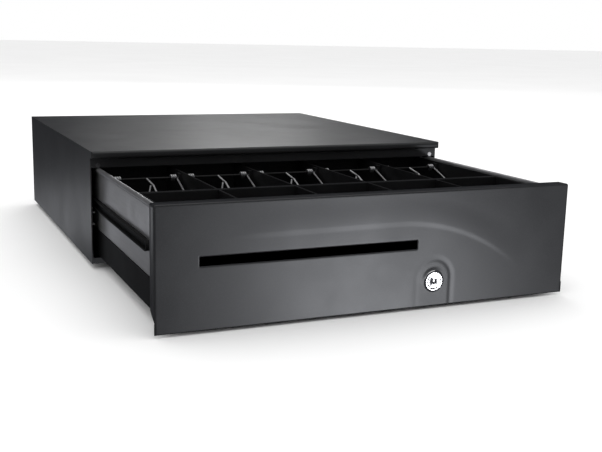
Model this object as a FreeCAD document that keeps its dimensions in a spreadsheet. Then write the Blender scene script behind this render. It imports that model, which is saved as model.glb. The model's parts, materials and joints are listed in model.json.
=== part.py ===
"""Cash drawer: a folded steel cabinet, a sliding drawer with a coin and bill till, its lock and latch.

Frame: millimetres, +X to the right seen from the front, +Y to the rear, +Z up. The origin is the
middle of the rectangle that the open drawer and its cabinet cover, at the underside of the feet.
The document holds the drawer open at its stop.
"""
import FreeCAD, Part
import math
import os
import re
import Sketcher

doc = FreeCAD.newDocument("cash_drawer")

# Driving sizes. Each row is an alias of the sheet and its value in millimetres.
SIZES = [
    ("depth_all", 649.0),
    # cabinet
    ("cab_w", 412.0), ("cab_d", 412.5), ("cab_h", 119.0), ("foot_h", 6.0), ("foot_r", 11.0),
    ("foot_inset", 42.0), ("skin", 1.2), ("nose_d", 9.0), ("nose_h", 7.5), ("nose_r", 3.0),
    ("band_low", 107.5), ("sill_h", 6.0), ("flange_d", 8.0), ("button_r", 2.4),
    ("button_x", 198.0), ("button_z", 109.9), ("button_t", 0.6), ("screw_r", 3.2),
    ("shank_r", 1.6), ("rear_screw_x", 182.0), ("rear_screw_low", 30.0),
    ("rear_screw_high", 105.0), ("rear_shank", 6.0), ("band_d", 10.0), ("foot_taper", 2.0),
    ("foot_web", 2.0), ("foot_head_r", 3.0), ("foot_head_t", 1.4),
    # drawer front
    ("open_gap", 235.0), ("travel", 230.0), ("panel_w", 411.0), ("panel_h", 108.0),
    ("panel_z", 3.0), ("return_d", 13.0), ("return_cut", 10.0), ("return_rise", 8.0),
    ("slot_w", 206.0), ("slot_h", 8.0), ("slot_x", -64.0), ("slot_z", 58.0), ("recess_w", 36.0),
    ("recess_top", 47.0), ("recess_t", 0.5), ("rib_x", -131.0), ("rib_bend_x", 20.0),
    ("rib_z", 80.5), ("rib_rise", 1.5), ("rib_arc_r", 200.0), ("rib_w", 3.0), ("rib_t", 0.4),
    ("rib_sweep", 40.0),
    # drawer body
    ("wall_x", 197.0), ("sheet_t", 1.0), ("drawer_d", 330.0), ("pan_z", 14.0), ("pan_lip", 27.0),
    ("side_top", 104.4), ("bead_r", 2.6), ("back_top", 100.0), ("relief", 0.3),
    # slide channels and rollers
    ("rail_z", 68.3), ("rail_h", 9.6), ("rail_d", 4.5), ("rail_front", 41.0),
    ("case_rail_z", 53.0), ("case_rail_h", 14.0), ("case_rail_d", 4.6), ("front_roll_r", 3.4),
    ("front_roll_y", -35.0), ("front_roll_w", 3.0), ("front_roll_off", 0.35),
    ("rear_roll_r", 5.4), ("rear_roll_w", 2.4), ("rear_roll_off", 0.4), ("roll_back", 8.0),
    ("pin_r", 1.5), ("collar_t", 1.1), ("side_play", 0.2), ("run_gap", 0.05),
    # till
    ("till_x", 194.0), ("till_t", 2.0), ("till_top", 104.0), ("till_front", 14.0),
    ("till_len", 258.0), ("coin_len", 86.0), ("coin_z", 68.0), ("bill_z", 50.0), ("pitch", 78.0),
    ("cross_t", 5.0), ("tray_ledge", 4.0), ("cup_r", 48.0), ("cup_floor", 2.5), ("cup_wall", 1.8),
    ("tray_gap", 1.0), ("ledge_w", 10.0), ("ledge_web", 14.0), ("over", 1.0),
    # wire hold-downs
    ("wire_r", 1.1), ("arm_x", 31.6), ("pivot_y", -105.0), ("pivot_z", 98.0), ("toe_y", -203.0),
    ("toe_z", 53.4), ("knee_y", -150.0), ("knee_z", 84.5), ("clip_t", 3.0), ("clip_h", 9.0),
    ("wire_bend", 2.4), ("loop_bend", 4.0), ("loop_x", 5.0), ("loop_drop", 16.0),
    ("pad_len", 9.0), ("end_play", 0.8),
    # lock
    ("lock_x", 58.0), ("lock_z", 26.5), ("lock_r", 10.5), ("lock_proud", 1.5),
    ("lock_body_r", 9.0), ("plug_r", 6.5), ("lock_len", 24.0), ("cam_len", 18.0), ("cam_w", 8.0),
    ("cam_t", 1.8), ("nut_t", 4.0), ("nut_r", 11.0), ("keyway_w", 2.0), ("keyway_h", 8.0),
    ("keyway_d", 12.0), ("plug_set", 0.3), ("cam_room", 1.5), ("panel_screw_x", 120.0),
    ("panel_screw_z", 34.0), ("panel_head_t", 2.0),
    # latch
    ("latch_y", 283.0), ("latch_z", 42.0), ("latch_pin_r", 2.0), ("arm_h", 8.0), ("arm_t", 3.0),
    ("tail_y", 301.0), ("link_r", 1.0), ("link_play", 0.7), ("plunger_r", 5.0), ("coil_r", 11.0),
    ("yoke_x", 13.5), ("yoke_t", 1.5), ("yoke_h", 23.2), ("tongue_z", 33.0), ("tongue_d", 18.0),
    ("tongue_x", 9.0), ("window_x", 4.0), ("cheek_x", 7.0), ("plate_t", 1.5), ("tooth_h", 7.0),
    ("tooth_t", 5.0), ("tooth_y", 244.0), ("plunger_low", 20.0), ("hook_coil_r", 3.2),
    ("hook_wire_r", 0.45), ("hook_coil_w", 3.15),
    # spring that pushes the drawer open, and the switch that feels it closed
    ("push_x", 110.0), ("push_z", 50.0), ("push_post_y", 290.0), ("push_half_w", 10.0),
    ("push_post_t", 6.0), ("push_foot_t", 2.0), ("push_foot_d", 16.0), ("push_guide_r", 2.5),
    ("push_guide_l", 28.0), ("push_coil_r", 4.6), ("push_wire_r", 0.8), ("push_gap", 2.2),
    ("switch_x", 42.0), ("switch_half", 8.0), ("switch_y", 242.0), ("switch_d", 12.0),
    ("switch_low", 12.0), ("switch_h", 16.0), ("key_half", 2.0), ("key_room", 0.2),
    ("key_gap", 1.6), ("key_d", 4.0), ("key_well", 6.0),
    # driver board and the socket in the rear panel
    ("board_x", -117.0), ("board_w", 66.0), ("board_y", 262.0), ("board_d", 50.0),
    ("board_z", 16.0), ("board_t", 1.6), ("post_inset", 4.0), ("post_r", 3.0), ("peg_r", 1.5),
    ("peg_h", 2.6), ("jack_x", -115.0), ("jack_half", 8.0), ("jack_d", 17.0), ("jack_h", 13.4),
    ("mouth_half", 6.0), ("mouth_low", 2.4), ("mouth_h", 7.6), ("mouth_d", 14.0),
    ("mouth_key", 2.5), ("mouth_key_h", 2.0),
]

sheet = doc.addObject("Spreadsheet::Sheet", "dims")
for line, (alias, value) in enumerate(SIZES, start=1):
    sheet.set("A%d" % line, alias)
    sheet.set("B%d" % line, str(value))
    sheet.setAlias("B%d" % line, alias)
doc.recompute()

ALIASES = {alias for alias, _ in SIZES}
WORD = re.compile(r"[a-z_]+")

# Places worked out from the sheet, as sheet formulas.
REAR = "(depth_all / 2)"
NOSE = "(depth_all / 2 - cab_d)"
WALL_FRONT = "(depth_all / 2 - cab_d + nose_d)"
PANEL = "(depth_all / 2 - cab_d - open_gap)"
PANEL_BACK = "(depth_all / 2 - cab_d - open_gap + skin)"
DRAWER_REAR = "(depth_all / 2 - cab_d - open_gap + drawer_d)"
TOP = "(foot_h + cab_h)"
INNER_X = "(cab_w / 2 - skin)"
TILL_FRONT = "(depth_all / 2 - cab_d - open_gap + till_front)"
CROSS = "(depth_all / 2 - cab_d - open_gap + till_front + coin_len)"
TILL_REAR = "(depth_all / 2 - cab_d - open_gap + till_front + till_len)"
FLOOR = "(foot_h + skin)"

NODES = {}


def formula(text):
    """Turns plain alias names into references to the sheet."""
    return WORD.sub(lambda word: "dims." + word[0] if word[0] in ALIASES else word[0], str(text))


def size(text):
    """The value of a sheet formula, in millimetres."""
    return float(sheet.evalExpression(formula(text)))


def bind(thing, prop, text):
    thing.setExpression(prop, formula(text))


def place(thing, x, y, z):
    for letter, text in zip("xyz", (x, y, z)):
        bind(thing, "Placement.Base." + letter, text)


def node(name, thing):
    """Names a finished sub-part."""
    thing.Label = name
    NODES[name] = thing
    return thing


def block(x, y, z):
    """A box between two limits on each axis."""
    box = doc.addObject("Part::Box", "block")
    for prop, (low, high) in zip(("Length", "Width", "Height"), (x, y, z)):
        bind(box, prop, "%s - (%s)" % (high, low))
    place(box, x[0], y[0], z[0])
    return box


def rod(axis, centre, radius, length):
    """A cylinder that starts at a centre and runs along an axis."""
    turns = {"x": (FreeCAD.Vector(0, 1, 0), 90), "y": (FreeCAD.Vector(1, 0, 0), -90),
             "z": (FreeCAD.Vector(0, 0, 1), 0)}
    bar = doc.addObject("Part::Cylinder", "rod")
    bar.Placement = FreeCAD.Placement(FreeCAD.Vector(), FreeCAD.Rotation(*turns[axis]))
    bind(bar, "Radius", radius)
    bind(bar, "Height", length)
    place(bar, *centre)
    return bar


def join(*things):
    fusion = doc.addObject("Part::MultiFuse", "join")
    fusion.Shapes = list(things)
    fusion.Refine = True
    return fusion


def group(*things):
    """Separate solids kept together."""
    lot = doc.addObject("Part::Compound", "group")
    lot.Links = list(things)
    return lot


def cut(base, *tools):
    rest = base
    for tool in tools:
        step = doc.addObject("Part::Cut", "cut")
        step.Base = rest
        step.Tool = tool
        step.Refine = True
        rest = step
    return rest


def common(first, second):
    both = doc.addObject("Part::Common", "common")
    both.Base = first
    both.Tool = second
    return both


def mirrored(thing):
    """The same piece on the other side of the middle plane."""
    twin = doc.addObject("Part::Mirroring", "mirror")
    twin.Source = thing
    twin.Normal = FreeCAD.Vector(1, 0, 0)
    return twin


def edges_at(thing, test):
    """Numbers of the straight edges whose two ends satisfy a test."""
    doc.recompute()
    found = []
    for number, edge in enumerate(thing.Shape.Edges, start=1):
        if len(edge.Vertexes) == 2 and all(test(vertex.Point) for vertex in edge.Vertexes):
            found.append(number)
    return found


def rounded(thing, radius, test):
    """Fillets the edges that lie where the test says."""
    soft = doc.addObject("Part::Fillet", "rounded")
    soft.Base = thing
    soft.Edges = [(number, size(radius), size(radius)) for number in edges_at(thing, test)]
    return soft


# ---- PartDesign helpers ------------------------------------------------------------------------

def origin_plane(body, role):
    return next(plane for plane in body.Origin.OriginFeatures if plane.Role == role)


def new_sketch(body, role, lift):
    sketch = body.newObject("Sketcher::SketchObject", "sketch")
    sketch.AttachmentSupport = (origin_plane(body, role), [""])
    sketch.MapMode = "FlatFace"
    bind(sketch, "AttachmentOffset.Base.z", lift)
    return sketch


def hold(sketch, geometry, end, u, v):
    """Fixes one point of the sketch at sheet-driven places."""
    for kind, text in (("DistanceX", u), ("DistanceY", v)):
        index = sketch.addConstraint(Sketcher.Constraint(kind, -1, 1, geometry, end, size(text)))
        sketch.setExpression("Constraints[%d]" % index, formula(text))


def outline(sketch, corners):
    """A closed polygon, each corner held by its own two dimensions."""
    points = [FreeCAD.Vector(size(u), size(v), 0) for u, v in corners]
    first = sketch.GeometryCount
    count = len(points)
    for index in range(count):
        sketch.addGeometry(Part.LineSegment(points[index], points[(index + 1) % count]), False)
    for index in range(count):
        following = first + (index + 1) % count
        sketch.addConstraint(Sketcher.Constraint("Coincident", first + index, 2, following, 1))
    for index, (u, v) in enumerate(corners):
        hold(sketch, first + index, 1, u, v)


def circle(sketch, u, v, radius):
    centre = FreeCAD.Vector(size(u), size(v), 0)
    ring = Part.Circle(centre, FreeCAD.Vector(0, 0, 1), size(radius))
    geometry = sketch.addGeometry(ring, False)
    hold(sketch, geometry, 3, u, v)
    index = sketch.addConstraint(Sketcher.Constraint("Radius", geometry, size(radius)))
    sketch.setExpression("Constraints[%d]" % index, formula(radius))


def pad(body, sketch, length, reverse=False):
    feature = body.newObject("PartDesign::Pad", "pad")
    feature.Profile = sketch
    bind(feature, "Length", length)
    feature.Reversed = reverse
    sketch.Visibility = False
    return feature


def side_profile(name, corners, low, high):
    """A body whose YZ outline runs along X between two limits."""
    body = doc.addObject("PartDesign::Body", name)
    sketch = new_sketch(body, "YZ_Plane", low)
    outline(sketch, corners)
    pad(body, sketch, "%s - (%s)" % (high, low))
    return body


def front_profile(name, outlines, circles, low, high):
    """A body whose XZ outlines run back along Y between two limits."""
    body = doc.addObject("PartDesign::Body", name)
    sketch = new_sketch(body, "XZ_Plane", "-(%s)" % low)
    for corners in outlines:
        outline(sketch, corners)
    for ring in circles:
        circle(sketch, *ring)
    pad(body, sketch, "%s - (%s)" % (high, low), True)
    return body


def rectangle(x, z):
    return [(x[0], z[0]), (x[1], z[0]), (x[1], z[1]), (x[0], z[1])]


def turned(name, corners, centre, axis):
    """A body turned about an axis: corners are (radius, place along the axis)."""
    turns = {"x": FreeCAD.Rotation(FreeCAD.Vector(0, 1, 0), 90),
             "y": FreeCAD.Rotation(FreeCAD.Vector(1, 0, 0), -90), "z": FreeCAD.Rotation()}
    body = doc.addObject("PartDesign::Body", name)
    sketch = new_sketch(body, "XZ_Plane", "0")
    outline(sketch, corners)
    spin = body.newObject("PartDesign::Revolution", "spin")
    spin.Profile = sketch
    spin.ReferenceAxis = (sketch, ["V_Axis"])
    spin.Angle = 360
    sketch.Visibility = False
    body.Placement = FreeCAD.Placement(FreeCAD.Vector(), turns[axis])
    place(body, *centre)
    return body


# ---- Cabinet -----------------------------------------------------------------------------------

def cabinet_shell():
    """Top and two sides folded from one sheet, with a rounded nose over the opening."""
    low, high = "foot_h", TOP
    outer, inner = "cab_w / 2", INNER_X
    arch = [("-" + outer, low), ("-" + outer, high), (outer, high), (outer, low),
            (inner, low), (inner, high + " - skin"), ("-" + inner, high + " - skin"),
            ("-" + inner, low)]
    body = front_profile("shell_sheet", [arch], [], WALL_FRONT, REAR + " - skin")
    nose = block(("-cab_w / 2", "cab_w / 2"), (NOSE, WALL_FRONT), (TOP + " - nose_h", TOP))
    whole = join(body, nose)
    top_z = size(TOP)
    front_y = size(NOSE)
    bottom_z = size(TOP + " - nose_h")
    half = size("cab_w / 2")
    soft = rounded(whole, "nose_r",
                   lambda p: abs(p.y - front_y) < 0.01 and (abs(p.z - top_z) < 0.01
                                                            or abs(p.z - bottom_z) < 0.01)
                   and abs(abs(p.x) - half) < 0.01)
    node("cabinet_shell", soft)


def base_pan(screws):
    """Shallow floor tray; its front edge is the sill of the opening."""
    half = INNER_X + " - relief"
    front = WALL_FRONT + " + skin"
    rear = REAR + " - skin - relief"
    outer = block(("-(%s)" % half, half), (front, rear), ("foot_h", "foot_h + sill_h"))
    inner = block(("-(%s - skin)" % half, half + " - skin"), (front + " + skin", rear + " - skin"),
                  (FLOOR, "foot_h + sill_h + over"))
    node("base_pan", cut(outer, inner, screws))


def rear_screw_lot():
    """Four screws that hold the rear panel, heads flush with its face."""
    screws = []
    for side in (-1, 1):
        for z in ("rear_screw_low", "rear_screw_high"):
            x = "%d * rear_screw_x" % side
            head = rod("y", (x, REAR + " - skin", z), "screw_r", "skin")
            shank = rod("y", (x, REAR + " - skin - rear_shank", z), "shank_r", "rear_shank")
            screws.append(join(head, shank))
    return group(*screws)


def rear_panel(screws):
    """Back sheet with folded edges inside the shell and an opening for the socket."""
    half = INNER_X + " - relief"
    low = "foot_h + sill_h + over"
    high = TOP + " - skin - relief"
    front = REAR + " - skin - flange_d"
    face = block(("-cab_w / 2", "cab_w / 2"), (REAR + " - skin", REAR), ("foot_h", TOP))
    tray = block(("-(%s)" % half, half), (front, REAR + " - skin"), (low, high))
    hollow = block(("-(%s - skin)" % half, half + " - skin"), (front, REAR + " - skin"),
                   (low + " + skin", high + " - skin"))
    ring = cut(tray, hollow)
    socket_hole = block(("jack_x - jack_half - relief", "jack_x + jack_half + relief"),
                        (REAR + " - skin", REAR), ("board_z + board_t - relief",
                                                   "board_z + board_t + jack_h + relief"))
    whole = cut(join(ring, face), socket_hole, screws)
    node("rear_panel", whole)


def front_band():
    """Folded brace across the opening, set back under the nose."""
    low = "band_low"
    rear = WALL_FRONT + " + band_d"
    corners = [(WALL_FRONT, TOP + " - skin"), (WALL_FRONT, low), (rear, low),
               (rear, low + " + skin"), (WALL_FRONT + " + skin", low + " + skin"),
               (WALL_FRONT + " + skin", TOP + " - skin")]
    node("front_band", side_profile("front_band", corners, "-" + INNER_X, INNER_X))


def guide_buttons():
    """Two small bright heads at the top corners of the opening."""
    heads = [rod("y", ("%d * button_x" % side, WALL_FRONT + " - button_t", "button_z"), "button_r",
                 "button_t") for side in (-1, 1)]
    node("guide_buttons", group(*heads))


def feet_and_screws():
    """Four rubber feet, each held by a screw from inside."""
    feet = []
    screws = []
    middle = "(%s + %s) / 2" % (REAR, WALL_FRONT)
    reach = "((%s - %s) / 2 - foot_inset)" % (REAR, WALL_FRONT)
    for side in (-1, 1):
        for end in (-1, 1):
            x = "%d * (cab_w / 2 - foot_inset)" % side
            y = "%s + %d * %s" % (middle, end, reach)
            profile = [("0", "0"), ("foot_r - foot_taper", "0"), ("foot_r", "foot_h"),
                       ("0", "foot_h")]
            foot = turned("foot", profile, (x, y, "0"), "z")
            head = rod("z", (x, y, "foot_web"), "foot_head_r", "foot_head_t")
            shank = rod("z", (x, y, "foot_web"), "shank_r", FLOOR + " - foot_web")
            screws.append(join(head, shank))
            well = rod("z", (x, y, "0"), "foot_head_r", "foot_web")
            feet.append(cut(foot, well, screws[-1]))
    node("feet", group(*feet))
    node("foot_screws", group(*screws))
    return NODES["foot_screws"]


def cabinet_rails():
    """Channels on the cabinet walls that hold the drawer's rear rollers."""
    low = "case_rail_z - case_rail_h / 2"
    high = "case_rail_z + case_rail_h / 2"
    outer = INNER_X
    inner = INNER_X + " - case_rail_d"
    corners = [(outer, low), (outer, high), (inner, high), (inner, high + " - skin"),
               (outer + " - sheet_t", high + " - skin"), (outer + " - sheet_t", low + " + skin"),
               (inner, low + " + skin"), (inner, low)]
    right = front_profile("case_rail", [corners], [], WALL_FRONT + " + flange_d",
                          DRAWER_REAR + " + travel + flange_d")
    both_sides("cabinet_rail", right)


def both_sides(name, right):
    """Two nodes: the piece on the right, and its mirror image on the left."""
    node(name + "_right", right)
    node(name + "_left", mirrored(right))


def wheel_profile(radius, width):
    return [("pin_r + run_gap", "0"), (radius, "0"), (radius, width), ("pin_r + run_gap", width)]


def front_rollers():
    """Nylon rollers on studs in the cabinet walls; the drawer's channels run on them."""
    web = "wall_x + sheet_t"
    start = web + " + front_roll_off"
    collar_start = start + " + front_roll_w + side_play"
    wheel = turned("front_roller", wheel_profile("front_roll_r", "front_roll_w"),
                   (start, "front_roll_y", "rail_z"), "x")
    pin = rod("x", (start + " - side_play", "front_roll_y", "rail_z"), "pin_r",
              "%s - (%s) + side_play" % (INNER_X, start))
    collar = rod("x", (collar_start, "front_roll_y", "rail_z"), "pin_r + collar_t",
                 "%s - (%s)" % (INNER_X, collar_start))
    both_sides("front_roller", wheel)
    both_sides("front_roller_stud", join(pin, collar))


# ---- Latch at the rear of the cabinet ----------------------------------------------------------

def latch_bracket():
    """Two cheeks on a foot, and the pin between them."""
    plate_y = ("latch_y - tongue_d - arm_t", "latch_y + cheek_x - plate_t")
    foot = block(("-cheek_x", "cheek_x"), plate_y, (FLOOR, FLOOR + " + plate_t"))
    cheeks = [block(("%d * cheek_x - plate_t / 2" % side, "%d * cheek_x + plate_t / 2" % side),
                    plate_y, (FLOOR, "latch_z + cheek_x")) for side in (-1, 1)]
    pin_reach = "(cheek_x + plate_t + latch_pin_r)"
    pin = rod("x", ("-" + pin_reach, "latch_y", "latch_z"), "latch_pin_r", "2 * " + pin_reach)
    node("latch_bracket", cut(join(foot, *cheeks), pin))
    node("latch_pin", pin)


def latch_hook():
    """Flat lever: a tooth at the front, a hole for the pin, a tail over the solenoid."""
    low = "latch_z - arm_h / 2"
    high = "latch_z + arm_h / 2"
    corners = [("tail_y + arm_t", low), ("tail_y + arm_t", high), ("tooth_y", high),
               ("tooth_y", low + " - tooth_h"), ("tooth_y + tooth_t / 2", low + " - tooth_h"),
               ("tooth_y + tooth_t", low + " - tooth_h + arm_t"), ("tooth_y + tooth_t", low)]
    arm = side_profile("hook_arm", corners, "-arm_t / 2", "arm_t / 2")
    bore = rod("x", ("-arm_t", "latch_y", "latch_z"), "latch_pin_r + run_gap", "2 * arm_t")
    link_hole = rod("x", ("-arm_t", "tail_y", "latch_z"), "link_r + link_play", "2 * arm_t")
    node("latch_hook", cut(arm, bore, link_hole))


def solenoid():
    """Plunger with a forked head and cross pin, its coil and the steel yoke round it."""
    body = rod("z", ("0", "tail_y", "plunger_low"), "plunger_r",
               "latch_z + arm_h / 2 - plunger_low")
    fork = block(("-arm_t / 2 - relief", "arm_t / 2 + relief"),
                 ("tail_y - 2 * plunger_r", "tail_y + 2 * plunger_r"),
                 ("latch_z - arm_h / 2 - foot_web", "latch_z + arm_h"))
    link_half = "(plunger_r - side_play)"
    link = rod("x", ("-" + link_half, "tail_y", "latch_z"), "link_r", "2 * " + link_half)
    node("solenoid_plunger", join(cut(body, fork), link))

    inner_low = FLOOR + " + yoke_t"
    inner_high = FLOOR + " + yoke_h - yoke_t"
    coil_low = inner_low + " + side_play / 2"
    coil_len = "yoke_h - 2 * yoke_t - side_play"
    coil = cut(rod("z", ("0", "tail_y", coil_low), "coil_r", coil_len),
               rod("z", ("0", "tail_y", coil_low), "plunger_r + side_play", coil_len))
    node("solenoid_coil", coil)
    yoke_y = ("tail_y - coil_r", "tail_y + coil_r")
    yoke = cut(block(("-yoke_x", "yoke_x"), yoke_y, (FLOOR, FLOOR + " + yoke_h")),
               block(("-yoke_x + yoke_t", "yoke_x - yoke_t"), yoke_y, (inner_low, inner_high)),
               rod("z", ("0", "tail_y", inner_high), "plunger_r + link_play", "2 * yoke_t"))
    node("solenoid_yoke", yoke)


def coil_spring(radius, wire, turns, length, centre, axis):
    """A helical wire spring that starts at a centre and runs along an axis."""
    helix = Part.makeHelix(length / turns, length, radius)
    start = FreeCAD.Vector(radius, 0, 0)
    ring = Part.Wire(Part.makeCircle(wire, start, FreeCAD.Vector(0, 1, 0)))
    spring = doc.addObject("Part::Feature", "spring")
    spring.Shape = Part.Wire(helix.Edges).makePipeShell([ring], True, True)
    spring.Placement = FreeCAD.Placement(centre, FreeCAD.Rotation(FreeCAD.Vector(0, 0, 1), axis))
    return spring


def latch_spring():
    """Return spring round the hook's pin."""
    centre = FreeCAD.Vector(size("arm_t / 2 + 2 * hook_wire_r"), size("latch_y"), size("latch_z"))
    turns = 3
    node("latch_spring", coil_spring(size("hook_coil_r"), size("hook_wire_r"), turns,
                                     size("hook_coil_w"), centre, FreeCAD.Vector(1, 0, 0)))


def ejector():
    """Post, guide rod and the spring that starts the drawer when the hook lets go."""
    x = ("push_x - push_half_w", "push_x + push_half_w")
    post_rear = "push_post_y + push_post_t"
    post = block(x, ("push_post_y", post_rear), (FLOOR, "push_z + push_half_w"))
    foot = block(x, (post_rear, post_rear + " + push_foot_d"), (FLOOR, FLOOR + " + push_foot_t"))
    node("ejector_bracket", join(post, foot))
    node("ejector_guide", rod("y", ("push_x", "push_post_y - push_guide_l", "push_z"),
                              "push_guide_r", "push_guide_l"))
    start = size(DRAWER_REAR + " + travel + push_gap")
    length = size("push_post_y - 2 * push_wire_r") - start
    turns = 11
    node("ejector_spring", coil_spring(size("push_coil_r"), size("push_wire_r"), turns, length,
                                       FreeCAD.Vector(size("push_x"), start, size("push_z")),
                                       FreeCAD.Vector(0, 1, 0)))


def switch_parts():
    """Drawer-closed switch and its sprung button."""
    middle_z = "(switch_low + switch_h / 2)"
    rear = "switch_y + switch_d"
    body = block(("switch_x - switch_half", "switch_x + switch_half"), ("switch_y", rear),
                 ("switch_low", "switch_low + switch_h"))
    post = block(("switch_x - switch_half + over", "switch_x + switch_half - over"),
                 ("switch_y + over", rear + " - over"), (FLOOR, "switch_low"))
    room = "(key_half + key_room)"
    hole = block(("switch_x - " + room, "switch_x + " + room), ("switch_y", "switch_y + key_well"),
                 (middle_z + " - " + room, middle_z + " + " + room))
    node("switch_body", cut(join(body, post), hole))
    button = block(("switch_x - key_half", "switch_x + key_half"),
                   (DRAWER_REAR + " + travel + key_gap", "switch_y + key_d"),
                   (middle_z + " - key_half", middle_z + " + key_half"))
    node("switch_button", button)


def board_and_jack():
    """Driver board on four posts and the socket that faces out of the rear panel."""
    low_x, high_x = "(board_x - board_w / 2)", "(board_x + board_w / 2)"
    top = "board_z + board_t"
    board = block((low_x, high_x), ("board_y", "board_y + board_d"), ("board_z", top))
    spots = [(x, y) for x in (low_x + " + post_inset", high_x + " - post_inset")
             for y in ("board_y + post_inset", "board_y + board_d - post_inset")]
    posts = []
    for x, y in spots:
        posts.append(join(rod("z", (x, y, FLOOR), "post_r", "board_z - (%s)" % FLOOR),
                          rod("z", (x, y, "board_z"), "peg_r", "peg_h")))
    lot = group(*posts)
    node("board_posts", lot)
    node("circuit_board", cut(board, lot))
    case = block(("jack_x - jack_half", "jack_x + jack_half"), (REAR + " - jack_d", REAR),
                 (top, top + " + jack_h"))
    mouth_y = (REAR + " - mouth_d", REAR)
    mouth = block(("jack_x - mouth_half", "jack_x + mouth_half"), mouth_y,
                  (top + " + mouth_low", top + " + mouth_low + mouth_h"))
    key = block(("jack_x - mouth_key", "jack_x + mouth_key"), mouth_y,
                (top + " + mouth_low + mouth_h", top + " + mouth_low + mouth_h + mouth_key_h"))
    node("interface_jack", cut(case, mouth, key))


# ---- Drawer body -------------------------------------------------------------------------------

def panel_screw_lot():
    """Screws through the pan's front lip that hold the front panel."""
    screws = []
    start = PANEL_BACK
    for x in ("-1.5 * panel_screw_x", "-panel_screw_x / 2", "1.5 * panel_screw_x"):
        shank = rod("y", (x, start, "panel_screw_z"), "shank_r", "sheet_t")
        head = rod("y", (x, start + " + sheet_t", "panel_screw_z"), "screw_r", "panel_head_t")
        screws.append(join(shank, head))
    return group(*screws)


def drawer_pan(screws):
    """Floor of the drawer with upturned sides and front."""
    outer_x = "wall_x + sheet_t"
    front, rear = PANEL_BACK, DRAWER_REAR
    top = "pan_z + pan_lip"
    floor = block(("-(%s)" % outer_x, outer_x), (front, rear), ("pan_z", "pan_z + sheet_t"))
    lips = [block(("-(%s)" % outer_x, "-wall_x"), (front, rear), ("pan_z", top)),
            block(("wall_x", outer_x), (front, rear), ("pan_z", top)),
            block(("-wall_x", "wall_x"), (front, front + " + sheet_t"), ("pan_z", top))]
    lock_hole = rod("y", ("lock_x", front, "lock_z"), "lock_body_r + run_gap", "sheet_t")
    cam_y = PANEL + " + lock_len"
    cam_slot = block(("lock_x - cam_w / 2 - cam_room", "lock_x + cam_len"),
                     (cam_y + " - cam_room", cam_y + " + cam_t + cam_room"),
                     ("pan_z", "pan_z + sheet_t"))
    node("drawer_pan", cut(join(floor, *lips), lock_hole, cam_slot, screws))


def drawer_sides():
    """Side walls with a rolled top bead."""
    inner = "wall_x - sheet_t"
    wall = block((inner, "wall_x"), (PANEL_BACK + " + sheet_t", DRAWER_REAR),
                 ("pan_z + sheet_t", "side_top"))
    bead = rod("y", ("wall_x", PANEL_BACK + " + sheet_t", "side_top"), "bead_r",
               "%s - (%s) - sheet_t" % (DRAWER_REAR, PANEL_BACK))
    both_sides("drawer_side", join(wall, bead))


def drawer_back():
    """Rear wall of the drawer, folded over at the top."""
    half = "wall_x - sheet_t"
    rear = DRAWER_REAR
    fold = rear + " - flange_d"
    corners = [(rear, "pan_z + sheet_t"), (rear, "back_top"), (fold, "back_top"),
               (fold, "back_top - sheet_t"), (rear + " - sheet_t", "back_top - sheet_t"),
               (rear + " - sheet_t", "pan_z + sheet_t")]
    node("drawer_back", side_profile("drawer_back", corners, "-(%s)" % half, half))


def slide_channels():
    """Dark C channels along the drawer's sides, closed at their rounded front ends."""
    low = "rail_z - rail_h / 2"
    high = "rail_z + rail_h / 2"
    lip = "wall_x + rail_d"
    middle = PANEL + " + rail_front + rail_h / 2"
    outer = join(block(("wall_x", lip), (middle, DRAWER_REAR), (low, high)),
                 rod("x", ("wall_x", middle, "rail_z"), "rail_h / 2", "rail_d"))
    race = join(block(("wall_x + sheet_t", lip), (middle, DRAWER_REAR),
                      (low + " + sheet_t", high + " - sheet_t")),
                rod("x", ("wall_x + sheet_t", middle, "rail_z"), "rail_h / 2 - sheet_t", "rail_d"))
    both_sides("drawer_rail", cut(outer, race))


def rear_rollers():
    """Rollers at the drawer's rear corners, which run in the cabinet's channels."""
    centre_y = DRAWER_REAR + " - roll_back"
    start = INNER_X + " - case_rail_d + rear_roll_off"
    wheel = turned("rear_roller", wheel_profile("rear_roll_r", "rear_roll_w"),
                   (start, centre_y, "case_rail_z"), "x")
    pin = rod("x", ("wall_x", centre_y, "case_rail_z"), "pin_r",
              "%s + rear_roll_w + side_play - wall_x" % start)
    collar = rod("x", ("wall_x", centre_y, "case_rail_z"), "pin_r + collar_t",
                 "%s - side_play - wall_x" % start)
    both_sides("rear_roller", wheel)
    both_sides("rear_roller_stud", join(pin, collar))


def till_ledges():
    """Folded strips on the inner walls that carry the till's two levels."""
    wall = "wall_x - sheet_t"
    web = block((wall + " - sheet_t", wall), (TILL_FRONT, TILL_REAR), ("bill_z - ledge_web", "bill_z"))
    riser = block((wall + " - sheet_t", wall), (TILL_FRONT, CROSS), ("bill_z", "coin_z"))
    lower = block((wall + " - ledge_w", wall), (CROSS, TILL_REAR), ("bill_z - sheet_t", "bill_z"))
    upper = block((wall + " - ledge_w", wall), (TILL_FRONT, CROSS), ("coin_z - sheet_t", "coin_z"))
    both_sides("till_ledge", join(web, riser, lower, upper))


# ---- Drawer front ------------------------------------------------------------------------------

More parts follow.
